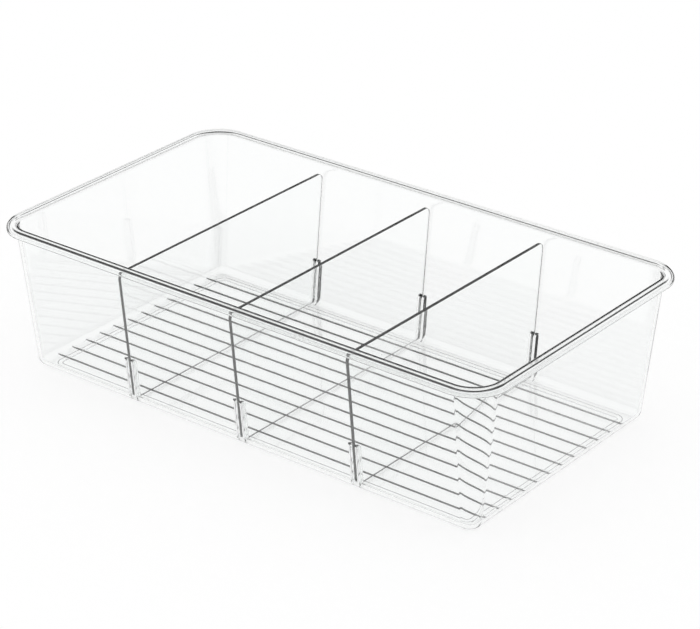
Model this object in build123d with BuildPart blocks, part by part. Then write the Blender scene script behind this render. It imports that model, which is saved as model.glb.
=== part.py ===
from build123d import *
import math
import os

# A clear moulded drawer bin for a fridge shelf, with three lift-out dividers.
# X runs along the bin, Y from the front wall to the back wall, Z up.
# The origin is at the middle of the footprint, on the surface the bin stands on.

# Overall size, across the rolled rim
bin_length = 340.0
bin_width = 192.6
bin_height = 91.0

# Walls and floor
wall = 2.0                   # thickness of the walls and of the rim
floor_thickness = 1.8
wall_draft = 6.0             # degrees that the walls lean outwards
rim_corner_radius = 22.0     # outer edge of the rim, seen from above
outer_floor_fillet = 6.5     # outside, where a wall turns into the floor
inner_floor_fillet = 5.0     # inside, where a wall turns into the floor
corner_share = 0.9           # most of a corner's radius that a turn into the floor may take

# Rim: the wall bends outwards, runs level and bends down again into a short lip
rim_width = 7.4
rim_inner_bend = 0.8         # inner radius of both bends
rim_lip = 0.4                # straight stretch of the lip below the outer bend

# Foot ring under the floor
foot_height = 1.0
foot_ring_width = 2.7
foot_inset = 8.3             # from the foot of the wall in to the ring
foot_corner_radius = 6.0

# Ribs that run along the floor
rib_count = 12
rib_pitch = 11.7
rib_width = 1.7
rib_height = 0.8
rib_run_on = 3.0             # past the flat floor, where the turn of the floor swallows a rib
rib_edge_radius = 0.45

# Dividers
divider_count = 3
divider_pitch = 79.0
divider_thickness = 2.0
divider_drop = 6.5           # top edge of a divider below the top of the rim
divider_top_radius = 4.0
divider_clearance = 0.3      # between a divider and the walls and guides

# Guides that hold each divider upright, two on each long wall
guide_height = 27.0          # above the floor
guide_width = 1.8
guide_depth = 3.0
guide_top_radius = 2.4
guide_toe_radius = 2.0

slope = math.tan(math.radians(wall_draft))
lean = math.cos(math.radians(wall_draft))

# The rim's middle line runs round the bin, at the height of the middles of its two bends
rim_bend = rim_inner_bend + wall
bend_inset = rim_width / 2 - rim_bend
axis_z = bin_height - rim_bend
axis_length = bin_length - rim_width
axis_width = bin_width - rim_width
axis_radius = rim_corner_radius - rim_width / 2

# Heights
floor_bottom = foot_height
floor_top = floor_bottom + floor_thickness
rib_top = floor_top + rib_height
divider_top = bin_height - divider_drop


def outer_inset(z):
    """Distance from the rim's middle line in to the outer face of the wall at height z."""
    return bend_inset + rim_inner_bend / lean + (axis_z - z) * slope


def inner_inset(z):
    """Distance from the rim's middle line in to the inner face of the wall at height z."""
    return bend_inset + rim_bend / lean + (axis_z - z) * slope


def rounded_plan(inset):
    """Draw the bin's plan, drawn in by inset from the rim's middle line."""
    RectangleRounded(axis_length - 2 * inset, axis_width - 2 * inset, axis_radius - inset)


def inner_half_width(z):
    return axis_width / 2 - inner_inset(z)


# Plain body of the bin, before it is hollowed
with BuildPart() as body:
    with BuildSketch(Plane.XY.offset(floor_bottom)):
        rounded_plan(outer_inset(floor_bottom))
    with BuildSketch(Plane.XY.offset(axis_z)):
        rounded_plan(outer_inset(axis_z))
    loft(ruled=True)
    outer_corner = axis_radius - outer_inset(floor_bottom)
    fillet(body.edges().group_by(Axis.Z)[0], min(outer_floor_fillet, corner_share * outer_corner))

# Guide places along the bin, one on each side of every divider
slot_half = divider_thickness / 2 + divider_clearance
divider_places = [(i - (divider_count - 1) / 2) * divider_pitch for i in range(divider_count)]
guide_places = [x + side * (slot_half + guide_width / 2) for x in divider_places for side in (-1, 1)]

# Space inside the bin: what is left of it makes the ribs and the guides
with BuildPart() as hollow:
    with BuildSketch(Plane.XY.offset(floor_top)):
        rounded_plan(inner_inset(floor_top))
    with BuildSketch(Plane.XY.offset(axis_z)):
        rounded_plan(inner_inset(axis_z))
    loft(ruled=True)
    inner_corner = axis_radius - inner_inset(floor_top)
    floor_fillet = min(inner_floor_fillet, corner_share * inner_corner)
    fillet(hollow.edges().group_by(Axis.Z)[0], floor_fillet)
    flat_length = axis_length - 2 * (inner_inset(floor_top) + floor_fillet)
    rib_length = flat_length + 2 * rib_run_on

    with BuildSketch(Plane.XY.offset(floor_top)):
        with GridLocations(0, rib_pitch, 1, rib_count):
            Rectangle(rib_length, rib_width)
    extrude(amount=rib_height, mode=Mode.SUBTRACT)
    rib_edges = hollow.edges().filter_by_position(Axis.Z, rib_top, rib_top).filter_by(Axis.X)
    fillet(rib_edges, rib_edge_radius)

    guide_top = floor_top + guide_height
    face_top = inner_half_width(guide_top) - guide_depth
    face_foot = inner_half_width(floor_top) - guide_depth
    toe_end = face_foot - 2 * guide_toe_radius
    for x in guide_places:
        with BuildSketch(Plane.YZ.offset(x)) as guide:
            with BuildLine():
                Polyline(
                    (bin_width, guide_top),
                    (face_top, guide_top),
                    (face_foot, floor_top),
                    (toe_end, floor_top),
                    (toe_end, 0),
                    (bin_width, 0),
                    close=True,
                )
            make_face()
            crest = guide.vertices().sort_by_distance((face_top, guide_top))[0]
            fillet(crest, guide_top_radius)
            heel = guide.vertices().sort_by_distance((face_foot, floor_top))[0]
            fillet(heel, guide_toe_radius)
            mirror(about=Plane.YZ)
        extrude(amount=guide_width / 2, both=True, mode=Mode.SUBTRACT)

# Section of the rim, drawn about its middle line with the outside of the bin to the right
with BuildSketch() as rim_section:
    with BuildLine():
        half_bend = math.sqrt(0.5)
        inner_turn = (-bend_inset - rim_bend * lean, rim_bend * slope * lean)
        outer_turn = (-bend_inset - rim_inner_bend * lean, rim_inner_bend * slope * lean)
        Line((-bend_inset - rim_bend / lean, 0), inner_turn)
        ThreePointArc(
            inner_turn,
            (-bend_inset - rim_bend * half_bend, rim_bend * half_bend),
            (-bend_inset, rim_bend),
        )
        Line((-bend_inset, rim_bend), (bend_inset, rim_bend))
        ThreePointArc(
            (bend_inset, rim_bend),
            (bend_inset + rim_bend * half_bend, rim_bend * half_bend),
            (bend_inset + rim_bend, 0),
        )
        Line((bend_inset + rim_bend, 0), (bend_inset + rim_bend, -rim_lip))
        ThreePointArc(
            (bend_inset + rim_bend, -rim_lip),
            (bend_inset + rim_bend - wall / 2, -rim_lip - wall / 2),
            (bend_inset + rim_inner_bend, -rim_lip),
        )
        Line((bend_inset + rim_inner_bend, -rim_lip), (bend_inset + rim_inner_bend, 0))
        ThreePointArc(
            (bend_inset + rim_inner_bend, 0),
            (bend_inset + rim_inner_bend * half_bend, rim_inner_bend * half_bend),
            (bend_inset, rim_inner_bend),
        )
        Line((bend_inset, rim_inner_bend), (-bend_inset, rim_inner_bend))
        ThreePointArc(
            (-bend_inset, rim_inner_bend),
            (-bend_inset - rim_inner_bend * half_bend, rim_inner_bend * half_bend),
            outer_turn,
        )
        Line(outer_turn, (-bend_inset - rim_inner_bend / lean, 0))
        Line((-bend_inset - rim_inner_bend / lean, 0), (-bend_inset - rim_bend / lean, 0))
    make_face()

# The tray: one moulding of walls, floor, foot ring, rim, ribs and guides
with BuildPart() as tray:
    add(body.part)
    with BuildSketch(Plane.XY):
        ring_inset = outer_inset(floor_bottom) + foot_inset
        ring_length = axis_length - 2 * ring_inset
        ring_width = axis_width - 2 * ring_inset
        RectangleRounded(ring_length, ring_width, foot_corner_radius)
        RectangleRounded(
            ring_length - 2 * foot_ring_width,
            ring_width - 2 * foot_ring_width,
            foot_corner_radius - foot_ring_width,
            mode=Mode.SUBTRACT,
        )
    extrude(amount=foot_height)
    add(hollow.part, mode=Mode.SUBTRACT)

    # Rim: the section goes straight along each side and turns round each corner
    straight_x = axis_length / 2 - axis_radius
    straight_y = axis_width / 2 - axis_radius
    for side in (-1, 1):
        with BuildSketch(Plane((0, side * axis_width / 2, axis_z), x_dir=(0, side, 0), z_dir=(side, 0, 0))):
            add(rim_section.sketch)
        extrude(amount=straight_x, both=True)
        with BuildSketch(Plane((side * axis_length / 2, 0, axis_z), x_dir=(side, 0, 0), z_dir=(0, -side, 0))):
            add(rim_section.sketch)
        extrude(amount=straight_y, both=True)
    for side_x in (-1, 1):
        for side_y in (-1, 1):
            corner_start = (side_x * straight_x, side_y * axis_width / 2, axis_z)
            corner_centre = (side_x * straight_x, side_y * straight_y, 0)
            with BuildSketch(Plane(corner_start, x_dir=(0, side_y, 0), z_dir=(side_y, 0, 0))):
                add(rim_section.sketch)
            revolve(axis=Axis(corner_centre, (0, 0, 1)), revolution_arc=-90 * side_x * side_y)

os.makedirs("parts", exist_ok=True)
tray.part.label = "tray"
export_step(tray.part, "parts/tray.step")

# Dividers: each stands on the floor ribs and follows the walls at the clearance
divider_foot = floor_top + divider_clearance
divider_side_top = inner_half_width(divider_top) - divider_clearance / lean
divider_side_foot = inner_half_width(divider_foot) - divider_clearance / lean
divider_names = ["divider_left", "divider_middle", "divider_right"]
for name, x in zip(divider_names, divider_places):
    with BuildPart() as divider:
        with BuildSketch(Plane.YZ.offset(x)) as plate:
            with BuildLine():
                Polyline(
                    (-divider_side_foot, divider_foot),
                    (divider_side_foot, divider_foot),
                    (divider_side_top, divider_top),
                    (-divider_side_top, divider_top),
                    close=True,
                )
            make_face()
            fillet(plate.vertices().group_by(Axis.Y)[-1], divider_top_radius)
            fillet(plate.vertices().group_by(Axis.Y)[0], floor_fillet - divider_clearance)
            with Locations((0, divider_foot)):
                Rectangle(bin_width, 2 * (rib_top - divider_foot), mode=Mode.SUBTRACT)
        extrude(amount=divider_thickness / 2, both=True)
    divider.part.label = name
    export_step(divider.part, f"parts/{name}.step")
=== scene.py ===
import math

import bpy
import numpy as np
from mathutils import Matrix, Vector


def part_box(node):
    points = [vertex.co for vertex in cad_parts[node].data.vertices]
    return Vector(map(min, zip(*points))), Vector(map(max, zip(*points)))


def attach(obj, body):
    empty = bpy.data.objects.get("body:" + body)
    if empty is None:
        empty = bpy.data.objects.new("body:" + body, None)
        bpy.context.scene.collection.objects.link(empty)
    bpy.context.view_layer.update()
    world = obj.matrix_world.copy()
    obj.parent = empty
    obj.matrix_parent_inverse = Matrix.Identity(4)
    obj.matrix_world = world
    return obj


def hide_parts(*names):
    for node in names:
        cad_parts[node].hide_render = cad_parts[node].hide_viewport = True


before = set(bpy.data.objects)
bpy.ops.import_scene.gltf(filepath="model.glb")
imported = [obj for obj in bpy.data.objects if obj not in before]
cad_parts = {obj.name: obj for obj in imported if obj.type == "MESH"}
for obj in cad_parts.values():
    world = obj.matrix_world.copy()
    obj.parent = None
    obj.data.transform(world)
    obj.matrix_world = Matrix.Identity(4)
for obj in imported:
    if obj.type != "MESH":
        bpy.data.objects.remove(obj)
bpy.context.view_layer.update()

mm = 0.001

trayLow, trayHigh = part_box("tray")
trayBox = [(high - low) / mm for low, high in zip(trayLow, trayHigh)]

# the tray in millimetres, as the CAD solid has it
tray = {
    "length": trayBox[0], "width": trayBox[1], "height": trayBox[2],
    "wall": 2.0, "floor": 1.8, "draft": 6.0,
    "rimCorner": 22.0, "rimWidth": 7.4, "innerBend": 0.8, "lip": 0.4,
    "outerTurn": 6.5, "innerTurn": 5.0,
    "footHeight": 1.0, "footWidth": 2.7, "footInset": 8.3, "footCorner": 6.0,
    "edgeRound": 0.25,
}

# how finely the tray's mesh is cut: points on each arc, and in millimetres the row that closes a flat run
# and the reach and gap of the plain columns along the long and the short sides
trayMesh = {
    "cornerSteps": 22, "footSteps": 4, "turnSteps": 14, "underSteps": 10, "lipSteps": 9, "overSteps": 14,
    "crestSteps": 7, "flatEnd": 0.12,
    "longReach": 138.0, "longGap": 6.0, "shortReach": 67.0, "shortGap": 4.0,
}

floorRibs = {"count": 12, "pitch": 11.7, "width": 1.7, "height": 0.8, "round": 0.45}

guides = {"height": 27.0, "width": 1.8, "depth": 3.0, "toe": 2.0, "crest": 2.4}

dividers = {
    "names": ["divider_left", "divider_middle", "divider_right"],
    "pitch": 79.0, "thickness": 2.0, "drop": 6.5, "clearance": 0.3,
    "topCorner": 4.0, "edgeRound": 0.4,
}

slope = math.tan(math.radians(tray["draft"]))
lean = math.cos(math.radians(tray["draft"]))
wallTurn = 90 - tray["draft"]               # degrees that the floor turns into the wall
innerBend = tray["innerBend"]
bend = innerBend + tray["wall"]             # outer radius of the rim's two bends
bendInset = tray["rimWidth"] / 2 - bend     # from the middle of the rim to the middle of a bend
axisZ = tray["height"] - bend
axisX = (tray["length"] - tray["rimWidth"]) / 2      # half plan of the rim's middle line
axisY = (tray["width"] - tray["rimWidth"]) / 2
axisCorner = tray["rimCorner"] - tray["rimWidth"] / 2
floorBottom = tray["footHeight"]
floorTop = floorBottom + tray["floor"]
ribTop = floorTop + floorRibs["height"]
guideTop = floorTop + guides["height"]
dividerTop = tray["height"] - dividers["drop"]
dividerPlaces = (np.arange(3) - 1) * dividers["pitch"]


# inset of the outer wall face at height z: the bend's own inset, its inner radius over the cosine of the draft,
# and the drop below the rim times the slope
def outerInset(z):
    return bendInset + innerBend / lean + (axisZ - z) * slope


# the same for the inner wall face, with the bend's outer radius
def innerInset(z):
    return bendInset + bend / lean + (axisZ - z) * slope


# length that the turn from floor to wall takes of each: its radius times the tangent of half its angle
def turnRun(radius):
    return radius * math.tan(math.radians(wallTurn) / 2)


# points on an arc: centre plus radius times cosine and sine, from one angle to the other
def arc(centre, radius, start, end, steps):
    turn = np.radians(np.linspace(start, end, steps))
    return np.stack([centre[0] + radius * np.cos(turn), centre[1] + radius * np.sin(turn)], 1)


# each corner of a closed run of points is cut by an arc that touches both of its sides
def roundCorners(points, radii, steps):
    out = []
    for i, radius in enumerate(radii):
        here = np.array(points[i], float)
        if radius <= 0:
            out.append(here[None])
            continue
        a = np.array(points[i - 1], float) - here
        b = np.array(points[(i + 1) % len(points)], float) - here
        a, b = a / np.linalg.norm(a), b / np.linalg.norm(b)
        half = math.acos(float(np.clip(a @ b, -1, 1))) / 2
        centre = here + (a + b) / np.linalg.norm(a + b) * radius / math.sin(half)
        first = here + a * radius / math.tan(half) - centre
        last = here + b * radius / math.tan(half) - centre
        sweep = math.atan2(first[0] * last[1] - first[1] * last[0], first @ last)
        turn = math.atan2(first[1], first[0]) + sweep * np.linspace(0, 1, steps)
        out.append(centre + radius * np.stack([np.cos(turn), np.sin(turn)], 1))
    return np.concatenate(out)


# mesh from whole arrays of points and faces, smooth apart from edges sharper than the angle
def makePiece(name, points, faces, sharpAngle=40.0, flatFaces=()):
    mesh = bpy.data.meshes.new(name)
    mesh.from_pydata((points * mm).tolist(), [], faces)
    mesh.validate()
    mesh.set_sharp_from_angle(angle=math.radians(sharpAngle))
    smooth = np.ones(len(mesh.polygons), bool)
    smooth[list(flatFaces)] = False
    mesh.polygons.foreach_set("use_smooth", smooth)
    mesh.update()
    piece = bpy.data.objects.new(name, mesh)
    bpy.context.scene.collection.objects.link(piece)
    return piece


# the tray's section from the underside out and up, over the rim and down inside to the floor:
# columns are inset from the rim's axis, height, and corner radius of that row in plan
def traySection():
    footOut = outerInset(floorBottom) + tray["footInset"]
    footIn = footOut + tray["footWidth"]
    r = tray["edgeRound"]
    ring = roundCorners(
        [(footIn + 4, floorBottom), (footIn, floorBottom), (footIn, 0), (footOut, 0),
         (footOut, floorBottom), (footOut - 1, floorBottom)],
        [0, r, r, r, r, 0], trayMesh["footSteps"])[1:-1]
    ringCorner = tray["footCorner"] - (ring[:, 0] - footOut)
    radius = tray["outerTurn"]
    outer = arc((outerInset(floorBottom) + turnRun(radius), floorBottom + radius),
                radius, 270, 270 - wallTurn, trayMesh["turnSteps"])
    under = np.concatenate([arc((bendInset, axisZ), innerBend, tray["draft"], 90, trayMesh["underSteps"]),
                            arc((-bendInset, axisZ), innerBend, 90, 180, trayMesh["underSteps"])])
    lip = arc((-(bendInset + bend - tray["wall"] / 2), axisZ - tray["lip"]),
              tray["wall"] / 2, 0, -180, trayMesh["lipSteps"])
    over = np.concatenate([arc((-bendInset, axisZ), bend, 180, 90, trayMesh["overSteps"]),
                           arc((bendInset, axisZ), bend, 90, tray["draft"], trayMesh["overSteps"])])
    radius = tray["innerTurn"]
    turnIn = arc((innerInset(floorTop) + turnRun(radius), floorTop + radius),
                 radius, 180 + tray["draft"], 270, trayMesh["turnSteps"])
    crest = guideTop - guides["crest"] * (1 - np.sin(np.radians(np.linspace(0, 90, trayMesh["crestSteps"]))))
    # rows down the inner face: two on the plain wall, the guides' crest, and two on their straight part
    heights = np.concatenate([[70, 50], [guideTop + 0.05], crest[::-1], [18, 11]])
    inner = np.stack([innerInset(heights), heights], 1)
    plain = np.concatenate([outer, under, lip, over, inner, turnIn])
    inside = np.arange(len(plain)) >= len(outer) + len(under) + len(lip) + len(over)
    ownCorner = axisCorner - plain[:, 0]
    points = np.concatenate([ring, plain])
    corner = np.concatenate([ringCorner, ownCorner])
    inside = np.concatenate([np.zeros(len(ring), bool), inside])
    # no two rows at one place
    keep = np.concatenate([[True], np.linalg.norm(np.diff(points, axis=0), axis=1) > 1e-4])
    points, corner, inside = points[keep], corner[keep], inside[keep]
    # long straight runs get a row close to each end, so that the flat between stays truly flat
    step = np.linalg.norm(np.diff(points, axis=0), axis=1)
    long = np.where(step > 1.2)[0]
    share = trayMesh["flatEnd"] / step[long]
    move = (points[long + 1] - points[long]) * share[:, None]
    moveCorner = (corner[long + 1] - corner[long]) * share
    where = np.concatenate([long + 1, long + 1])
    extra = np.concatenate([points[long] + move, points[long + 1] - move])
    extraCorner = np.concatenate([corner[long] + moveCorner, corner[long + 1] - moveCorner])
    extraInside = np.concatenate([inside[long], inside[long + 1]])
    points = np.insert(points, where, extra, axis=0)
    return points, np.insert(corner, where, extraCorner), np.insert(inside, where, extraInside)


section, sectionCorner, sectionInside = traySection()


# places of the columns along one side: every feature plus every offset, and plain ones a gap apart
# wherever no fine one lies within 0.4 of the gap
def sidePlaces(features, offsets, reach, gap):
    fine = (features[:, None] + offsets[None]).ravel()
    coarse = np.arange(-reach, reach + 0.1, gap)
    clear = np.abs(coarse[:, None] - fine[None]).min(1) > gap * 0.4
    return np.sort(np.concatenate([fine, coarse[clear]]))


guideOffsets = guides["width"] / 2 + np.array([0.10, 0.0, -0.09, -0.3])
guideOffsets = np.concatenate([-guideOffsets, guideOffsets[::-1]])
ribRound = floorRibs["round"]
ribTurn = np.radians(np.linspace(0, 90, 5))
ribEdge = np.concatenate([[-0.04], ribRound * (1 - np.cos(ribTurn))])       # from a rib's side inwards
ribRise = np.concatenate([[0.0], floorRibs["height"] - ribRound * (1 - np.sin(ribTurn))])
ribOffsets = floorRibs["width"] / 2 - ribEdge
ribOffsets = np.concatenate([-ribOffsets, ribOffsets[::-1]])
guidePlaces = dividerPlaces[:, None] + np.array([-1, 1]) * (
    dividers["thickness"] / 2 + dividers["clearance"] + guides["width"] / 2)
guidePlaces = guidePlaces.ravel()
ribPlaces = (np.arange(floorRibs["count"]) - (floorRibs["count"] - 1) / 2) * floorRibs["pitch"]
longPlaces = sidePlaces(guidePlaces, guideOffsets, trayMesh["longReach"], trayMesh["longGap"])
shortPlaces = sidePlaces(ribPlaces, ribOffsets, trayMesh["shortReach"], trayMesh["shortGap"])


# height of the floor's ribs at y: a quarter circle up from a rib's side to its full height, nought outside
def ribHeight(y):
    away = np.abs(y[..., None] - ribPlaces).min(-1)
    edge = floorRibs["width"] / 2 - away
    return np.interp(edge, ribEdge, ribRise)


# how far a guide stands off the wall's section at height z: its depth, less a quarter circle at the crest
# and with a quarter circle added at the toe
def guideStandOff(z, inset):
    depth = guides["depth"]
    c = guides["crest"]
    up = np.clip(z - (guideTop - c), 0, c)
    face = depth - c + np.sqrt(np.maximum(c * c - up * up, 0))
    low = np.clip(guides["toe"] - (z - floorTop), 0, guides["toe"])
    face = face + guides["toe"] - np.sqrt(np.maximum(guides["toe"] ** 2 - low * low, 0))
    return np.where(z <= guideTop + 1e-6, np.maximum(innerInset(z) + face - inset, 0), 0)


# depth in millimetres that a guide loses at x: read from a table by the distance in from its side,
# rounded just inside the side and all of it outside
def guideLoss(x):
    away = np.abs(x[..., None] - guidePlaces).min(-1)
    edge = guides["width"] / 2 - away
    return np.interp(edge, [-0.10, -0.099, 0.0, 0.09, 0.3], [99.0, 1.2, 0.3, 0.09, 0.0])


# closed loop of points in plan for every row: straight sides sampled at the places, corners as arcs
def trayShell():
    d, z = section[:, 0], section[:, 1]
    rc = sectionCorner
    hx, hy = axisX - d, axisY - d
    rows = len(d)
    turn = np.radians(np.linspace(0, 90, trayMesh["cornerSteps"] + 1))[1:-1]
    endX, endY = hx - rc, hy - rc

    # a straight side in every row: its ends, a column close to each, and the places between
    def along(end, places):
        close = end - trayMesh["flatEnd"]
        return np.concatenate([-end[:, None], -close[:, None], np.tile(places, (rows, 1)),
                               close[:, None], end[:, None]], 1)

    alongX, alongY = along(endX, longPlaces), along(endY, shortPlaces)
    inside = sectionInside[:, None]
    stand = guideStandOff(z, d)[:, None]
    push = np.where(inside, np.maximum(stand - guideLoss(alongX), 0), 0)
    ribZ = np.where(inside, floorTop + ribHeight(alongY), -1)
    ribZ[:, :2] = ribZ[:, -2:] = -1

    # a corner in every row: its centre plus the radius times cosine and sine, run forwards or backwards
    def cornerRun(sx, sy, first):
        a = turn if first else turn[::-1]
        return np.stack([sx * (endX[:, None] + rc[:, None] * np.cos(a)),
                         sy * (endY[:, None] + rc[:, None] * np.sin(a)),
                         np.broadcast_to(z[:, None], (rows, len(a)))], 2)

    zX = np.broadcast_to(z[:, None], alongX.shape)
    zY = np.maximum(z[:, None], ribZ)
    front = np.stack([alongX, -hy[:, None] + push, zX], 2)
    right = np.stack([np.broadcast_to(hx[:, None], alongY.shape), alongY, zY], 2)
    back = np.stack([alongX, hy[:, None] - push, zX], 2)[:, ::-1]
    left = np.stack([-right[..., 0], alongY, zY], 2)[:, ::-1]
    loop = [front, cornerRun(1, -1, False), right, cornerRun(1, 1, True),
            back, cornerRun(-1, 1, False), left, cornerRun(-1, -1, True)]
    return np.concatenate(loop, 1), [part.shape[1] for part in loop]


# quads between one closed loop of points and the next
def loopQuads(rows, columns):
    i = np.arange(rows - 1)[:, None] * columns
    j = np.arange(columns)[None]
    k = (j + 1) % columns
    return np.stack([i + j, i + k, i + columns + k, i + columns + j], 2).reshape(-1, 4)


# the floor inside the last loop: a grid of the long places by the short ones, raised to the ribs,
# joined to the loop by strips along the sides and a fan at each corner
def floorGrid(shell, counts):
    rows, columns = shell.shape[:2]
    base = (rows - 1) * columns
    starts = base + np.concatenate([[0], np.cumsum(counts)])
    nx, ny = counts[0], counts[2]
    xs, ys = shell[-1, :nx, 0], shell[-1, counts[0] + counts[1]:counts[0] + counts[1] + ny, 1]
    gx, gy = np.meshgrid(xs, ys, indexing="ij")
    lift = ribHeight(gy)
    lift[:, :2] = lift[:, -2:] = 0
    points = np.stack([gx, gy, floorTop + lift], 2).reshape(-1, 3)
    at = rows * columns + np.arange(nx * ny).reshape(nx, ny)
    cells = np.stack([at[:-1, :-1], at[1:, :-1], at[1:, 1:], at[:-1, 1:]], 2).reshape(-1, 4)
    front = starts[0] + np.arange(nx)
    right = starts[2] + np.arange(ny)
    back = starts[4] + np.arange(nx)[::-1]
    left = starts[6] + np.arange(ny)[::-1]
    strips = []
    for edge, inner, flip in ((front, at[:, 0], False), (right, at[-1], False),
                              (back, at[:, -1], True), (left, at[0], True)):
        q = np.stack([edge[:-1], edge[1:], inner[1:], inner[:-1]], 1)
        strips.append(q[:, ::-1] if flip else q)
    fans = []
    loopEnd = base + columns
    for corner, part in ((at[-1, 0], 1), (at[-1, -1], 3), (at[0, -1], 5), (at[0, 0], 7)):
        run = np.arange(starts[part] - 1, starts[part + 1] + 1)
        run[run >= loopEnd] -= columns
        fans.append(np.stack([np.full(len(run) - 1, corner), run[:-1], run[1:]], 1))
    faces = np.concatenate([cells] + strips).tolist() + np.concatenate(fans).tolist()
    return points, faces


# the tray: quads between the loops of its section, the floor inside the last loop, and a flat face under the first
def buildTray():
    shell, counts = trayShell()
    rows, columns = shell.shape[:2]
    floorPoints, floorFaces = floorGrid(shell, counts)
    points = np.concatenate([shell.reshape(-1, 3), floorPoints])
    faces = loopQuads(rows, columns).tolist() + floorFaces
    faces.append(np.arange(columns)[::-1].tolist())
    piece = makePiece("clearTray", points, faces, flatFaces=[len(faces) - 1])
    print("tray:", len(points), "points,", len(faces), "faces")
    return piece


# half width of a divider at height z: the inside of the tray there, less the clearance
# over the cosine of the draft
def dividerHalfWidth(z):
    return axisY - innerInset(z) - dividers["clearance"] / lean


# a divider's outline in y and z with its corners rounded, cut off level with the tops of the ribs
def dividerOutline():
    foot = floorTop + dividers["clearance"]
    low = tray["innerTurn"] - dividers["clearance"]
    top = dividers["topCorner"]
    footHalf, topHalf = dividerHalfWidth(foot), dividerHalfWidth(dividerTop)
    outline = roundCorners(
        [(-footHalf, foot), (footHalf, foot), (topHalf, dividerTop), (-topHalf, dividerTop)],
        [low, low, top, top], 13)
    outline = outline[outline[:, 1] >= ribTop]
    centre = footHalf - turnRun(low)
    cut = centre + math.sqrt(low * low - (foot + low - ribTop) ** 2)
    outline = np.concatenate([outline, [[-cut, ribTop], [cut, ribTop]]])
    return outline[np.argsort(np.arctan2(outline[:, 1] - dividerTop / 2, outline[:, 0]))]


# a divider: its outline carried through the thickness, drawn in along its normals by a quarter circle
# at each face, so that every edge is rounded
def buildDivider(name, place):
    outline = dividerOutline()
    before, after = np.roll(outline, 1, 0), np.roll(outline, -1, 0)
    tangent = after - before
    tangent /= np.linalg.norm(tangent, axis=1)[:, None]
    normal = np.stack([tangent[:, 1], -tangent[:, 0]], 1)
    e = dividers["edgeRound"]
    turn = np.radians(np.linspace(0, 90, 4))
    half = dividers["thickness"] / 2
    depth = np.concatenate([e * (1 - np.sin(turn)), e * (1 - np.cos(turn))])
    across = np.concatenate([-half + e * (1 - np.cos(turn)), half - e * (1 - np.sin(turn))])
    rows = outline[None] - normal[None] * depth[:, None, None]
    places = np.broadcast_to((place + across)[:, None, None], rows.shape[:2] + (1,))
    shell = np.concatenate([places, rows], 2)
    count = len(outline)
    faces = loopQuads(len(depth), count).tolist()
    faces.append(np.arange(count)[::-1].tolist())
    faces.append((np.arange(count) + (len(depth) - 1) * count).tolist())
    return makePiece(name, shell.reshape(-1, 3), faces, 50, [len(faces) - 2, len(faces) - 1])


# empty node tree of a new material or world
def clearNodes(owner):
    owner.use_nodes = True
    nodes, links = owner.node_tree.nodes, owner.node_tree.links
    nodes.clear()
    return nodes, links


# the larger of several outputs, one Maximum node after another
def largestOf(nodes, links, outputs):
    largest = outputs[0]
    for other in outputs[1:]:
        pick = nodes.new("ShaderNodeMath")
        pick.operation = "MAXIMUM"
        links.new(largest, pick.inputs[0])
        links.new(other, pick.inputs[1])
        largest = pick.outputs[0]
    return largest


# first shader times one less the share, plus the second times the share
def mixShaders(nodes, links, share, first, second):
    mix = nodes.new("ShaderNodeMixShader")
    links.new(share, mix.inputs["Fac"])
    links.new(first, mix.inputs[1])
    links.new(second, mix.inputs[2])
    return mix.outputs["Shader"]


# clear moulded plastic: what a user would change about it
clearPlastic = {
    "colour": (0.985, 0.992, 0.99, 1), "ior": 1.57, "roughness": 0.015,
    "waviness": 0.02, "waveSize": 0.02, "shadow": (0.985, 0.985, 0.985, 1),
    # painted shade: the edge colour below, between the two facing values, darkens the base colour where the
    # plastic is seen edge on
    "paintedEdgeShade": (0.1, 0.1, 0.1, 1), "edgeFrom": 0.76, "edgeTo": 0.9,
}
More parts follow.
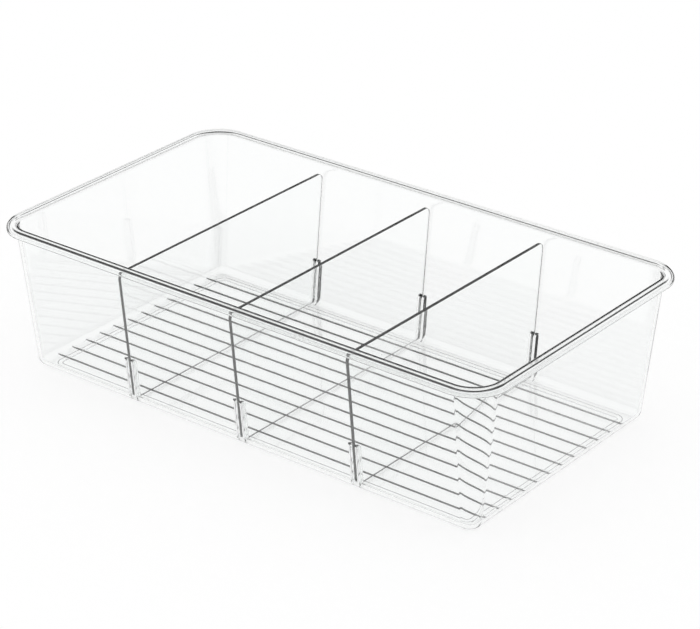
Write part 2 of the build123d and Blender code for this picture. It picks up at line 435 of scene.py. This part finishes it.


# refracting plastic with painted shade: its base colour goes dark where it is seen edge on, by a smooth step of
# the facing between two values;
# a faint noise varies its gloss and its surface, and shadow rays go straight through
def makeClearPlastic(name, look):
    material = bpy.data.materials.new(name)
    nodes, links = clearNodes(material)
    output = nodes.new("ShaderNodeOutputMaterial")
    plastic = nodes.new("ShaderNodeBsdfPrincipled")
    facing = nodes.new("ShaderNodeLayerWeight")
    facing.inputs["Blend"].default_value = 0.5
    edgeShade = nodes.new("ShaderNodeMapRange")
    edgeShade.interpolation_type = "SMOOTHSTEP"
    edgeShade.inputs["From Min"].default_value = look["edgeFrom"]
    edgeShade.inputs["From Max"].default_value = look["edgeTo"]
    links.new(facing.outputs["Facing"], edgeShade.inputs["Value"])
    # painted shade: the plastic's own colour is mixed towards the dark edge colour where the surface is seen edge
    # on
    tintAndEdgeShade = nodes.new("ShaderNodeMix")
    tintAndEdgeShade.data_type = "RGBA"
    tintAndEdgeShade.inputs[6].default_value = look["colour"]           # the node's A and B sockets for colours
    tintAndEdgeShade.inputs[7].default_value = look["paintedEdgeShade"]
    links.new(edgeShade.outputs["Result"], tintAndEdgeShade.inputs[0])
    links.new(tintAndEdgeShade.outputs[2], plastic.inputs["Base Color"])
    plastic.inputs["IOR"].default_value = look["ior"]
    plastic.inputs["Transmission Weight"].default_value = 1.0
    place = nodes.new("ShaderNodeTexCoord")
    grain = nodes.new("ShaderNodeTexNoise")
    grain.inputs["Scale"].default_value = 1 / look["waveSize"]
    grain.inputs["Detail"].default_value = 2.0
    links.new(place.outputs["Object"], grain.inputs["Vector"])
    haze = nodes.new("ShaderNodeMapRange")
    haze.inputs["To Min"].default_value = 0.0
    haze.inputs["To Max"].default_value = look["roughness"] * 2
    links.new(grain.outputs["Fac"], haze.inputs["Value"])
    links.new(haze.outputs["Result"], plastic.inputs["Roughness"])
    bump = nodes.new("ShaderNodeBump")
    bump.inputs["Strength"].default_value = look["waviness"]
    bump.inputs["Distance"].default_value = 0.001
    links.new(grain.outputs["Fac"], bump.inputs["Height"])
    links.new(bump.outputs["Normal"], plastic.inputs["Normal"])
    through = nodes.new("ShaderNodeBsdfTransparent")
    through.inputs["Color"].default_value = look["shadow"]
    path = nodes.new("ShaderNodeLightPath")
    clear = mixShaders(nodes, links, path.outputs["Is Shadow Ray"], plastic.outputs["BSDF"],
                       through.outputs["BSDF"])
    links.new(clear, output.inputs["Surface"])
    return material


trayPiece = buildTray()
trayPiece.data.materials.append(makeClearPlastic("clearTrayPlastic", clearPlastic))
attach(trayPiece, "tray")
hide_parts("tray")

for dividerName, dividerPlace in zip(dividers["names"], dividerPlaces):
    plate = buildDivider(dividerName + "_plate", dividerPlace)
    plate.data.materials.append(makeClearPlastic(dividerName + "_plastic", clearPlastic))
    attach(plate, dividerName)
    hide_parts(dividerName)
print("dividers made")


# studio: a floor that shows white, and a world that is white to the camera; what the plastic bends or mirrors
# sees the sky instead, given as the height of a direction, -1 to 1, and its grey: dark just above the horizon
studio = {
    "floorSize": 6.0, "floorDrop": 0.0002, "floorColour": (0.3, 0.3, 0.3, 1),
    "lightLevel": 0.8,
    "sky": [(-1, 1.0), (0.02, 1.0), (0.045, 0.0), (0.36, 0.0), (0.41, 1.0)],
}


# floor paint: a dull part that takes the shadow, plus a glow of 1 less its colour times the light level
# for camera, glossy and transmission rays, so that the two add up to white
def makeFloorPaint(name, look):
    material = bpy.data.materials.new(name)
    nodes, links = clearNodes(material)
    output = nodes.new("ShaderNodeOutputMaterial")
    paint = nodes.new("ShaderNodeBsdfDiffuse")
    paint.inputs["Color"].default_value = look["floorColour"]
    path = nodes.new("ShaderNodeLightPath")
    seen = largestOf(nodes, links, [path.outputs["Is Camera Ray"], path.outputs["Is Glossy Ray"],
                                    path.outputs["Is Transmission Ray"]])
    topUp = nodes.new("ShaderNodeMath")
    topUp.operation = "MULTIPLY"
    topUp.inputs[1].default_value = 1 - look["floorColour"][0] * look["lightLevel"]
    links.new(seen, topUp.inputs[0])
    glow = nodes.new("ShaderNodeEmission")
    links.new(topUp.outputs[0], glow.inputs["Strength"])
    both = nodes.new("ShaderNodeAddShader")
    links.new(paint.outputs["BSDF"], both.inputs[0])
    links.new(glow.outputs["Emission"], both.inputs[1])
    links.new(both.outputs["Shader"], output.inputs["Surface"])
    return material


# a square floor just under the object
def buildFloor(look):
    mesh = bpy.data.meshes.new("studioFloor")
    s = look["floorSize"] / 2
    mesh.from_pydata([(-s, -s, 0), (s, -s, 0), (s, s, 0), (-s, s, 0)], [], [(0, 1, 2, 3)])
    mesh.materials.append(makeFloorPaint("studioFloorPaint", look))
    piece = bpy.data.objects.new("studioFloor", mesh)
    piece.location.z = -look["floorDrop"]
    bpy.context.scene.collection.objects.link(piece)
    return piece


# world: plain light for dull surfaces, the sky's grey at half of the direction's height plus one
# for glossy and transmission rays, and white for the camera
def makeWorld(name, look):
    world = bpy.data.worlds.new(name)
    nodes, links = clearNodes(world)
    output = nodes.new("ShaderNodeOutputWorld")
    light = nodes.new("ShaderNodeBackground")
    light.inputs["Color"].default_value = (1, 1, 1, 1)
    light.inputs["Strength"].default_value = look["lightLevel"]
    white = nodes.new("ShaderNodeBackground")
    white.inputs["Color"].default_value = (1, 1, 1, 1)
    direction = nodes.new("ShaderNodeTexCoord")
    heightOf = nodes.new("ShaderNodeSeparateXYZ")
    links.new(direction.outputs["Generated"], heightOf.inputs["Vector"])
    spread = nodes.new("ShaderNodeMapRange")
    spread.inputs["From Min"].default_value = -1
    links.new(heightOf.outputs["Z"], spread.inputs["Value"])
    sky = nodes.new("ShaderNodeValToRGB")
    while len(sky.color_ramp.elements) < len(look["sky"]):
        sky.color_ramp.elements.new(1.0)
    for stop, (height, level) in zip(sky.color_ramp.elements, look["sky"]):
        stop.position = (height + 1) / 2
        stop.color = (level, level, level, 1)
    links.new(spread.outputs["Result"], sky.inputs["Fac"])
    skyGlow = nodes.new("ShaderNodeBackground")
    links.new(sky.outputs["Color"], skyGlow.inputs["Color"])
    path = nodes.new("ShaderNodeLightPath")
    bent = largestOf(nodes, links, [path.outputs["Is Glossy Ray"], path.outputs["Is Transmission Ray"]])
    unseen = mixShaders(nodes, links, bent, light.outputs["Background"], skyGlow.outputs["Background"])
    shown = mixShaders(nodes, links, path.outputs["Is Camera Ray"], unseen, white.outputs["Background"])
    links.new(shown, output.inputs["Surface"])
    return world


# camera at the photograph's angle, in degrees and millimetres
viewpoint = {
    "azimuth": 38.148, "elevation": 26.257, "distance": 1535.1, "right": 8.9, "up": 43.81,
    "lens": 139.52, "sensor": 36,
}


# unit vector from the object at an azimuth and an elevation: sine and cosine of one, times cosine of the other
def awayFrom(azimuth, elevation):
    a, e = math.radians(azimuth), math.radians(elevation)
    return Vector((math.sin(a) * math.cos(e), -math.cos(a) * math.cos(e), math.sin(e)))


# camera at the distance along its own backward axis, moved along its right and up axes
def placeCamera(view):
    back = awayFrom(view["azimuth"], view["elevation"])
    right = Vector((0, 0, 1)).cross(back).normalized()
    up = back.cross(right)
    place = back * view["distance"] + right * view["right"] + up * view["up"]
    data = bpy.data.cameras.new("studioCamera")
    data.lens = view["lens"]
    data.sensor_width = view["sensor"]
    data.sensor_fit = "HORIZONTAL"
    camera = bpy.data.objects.new("studioCamera", data)
    camera.matrix_world = Matrix.Translation(place * mm) @ Matrix((right, up, back)).transposed().to_4x4()
    bpy.context.scene.collection.objects.link(camera)
    return camera


buildFloor(studio)
bpy.context.scene.world = makeWorld("studioWorld", studio)
bpy.context.scene.camera = placeCamera(viewpoint)
bpy.context.scene.view_settings.view_transform = "Standard"
print("studio ready")
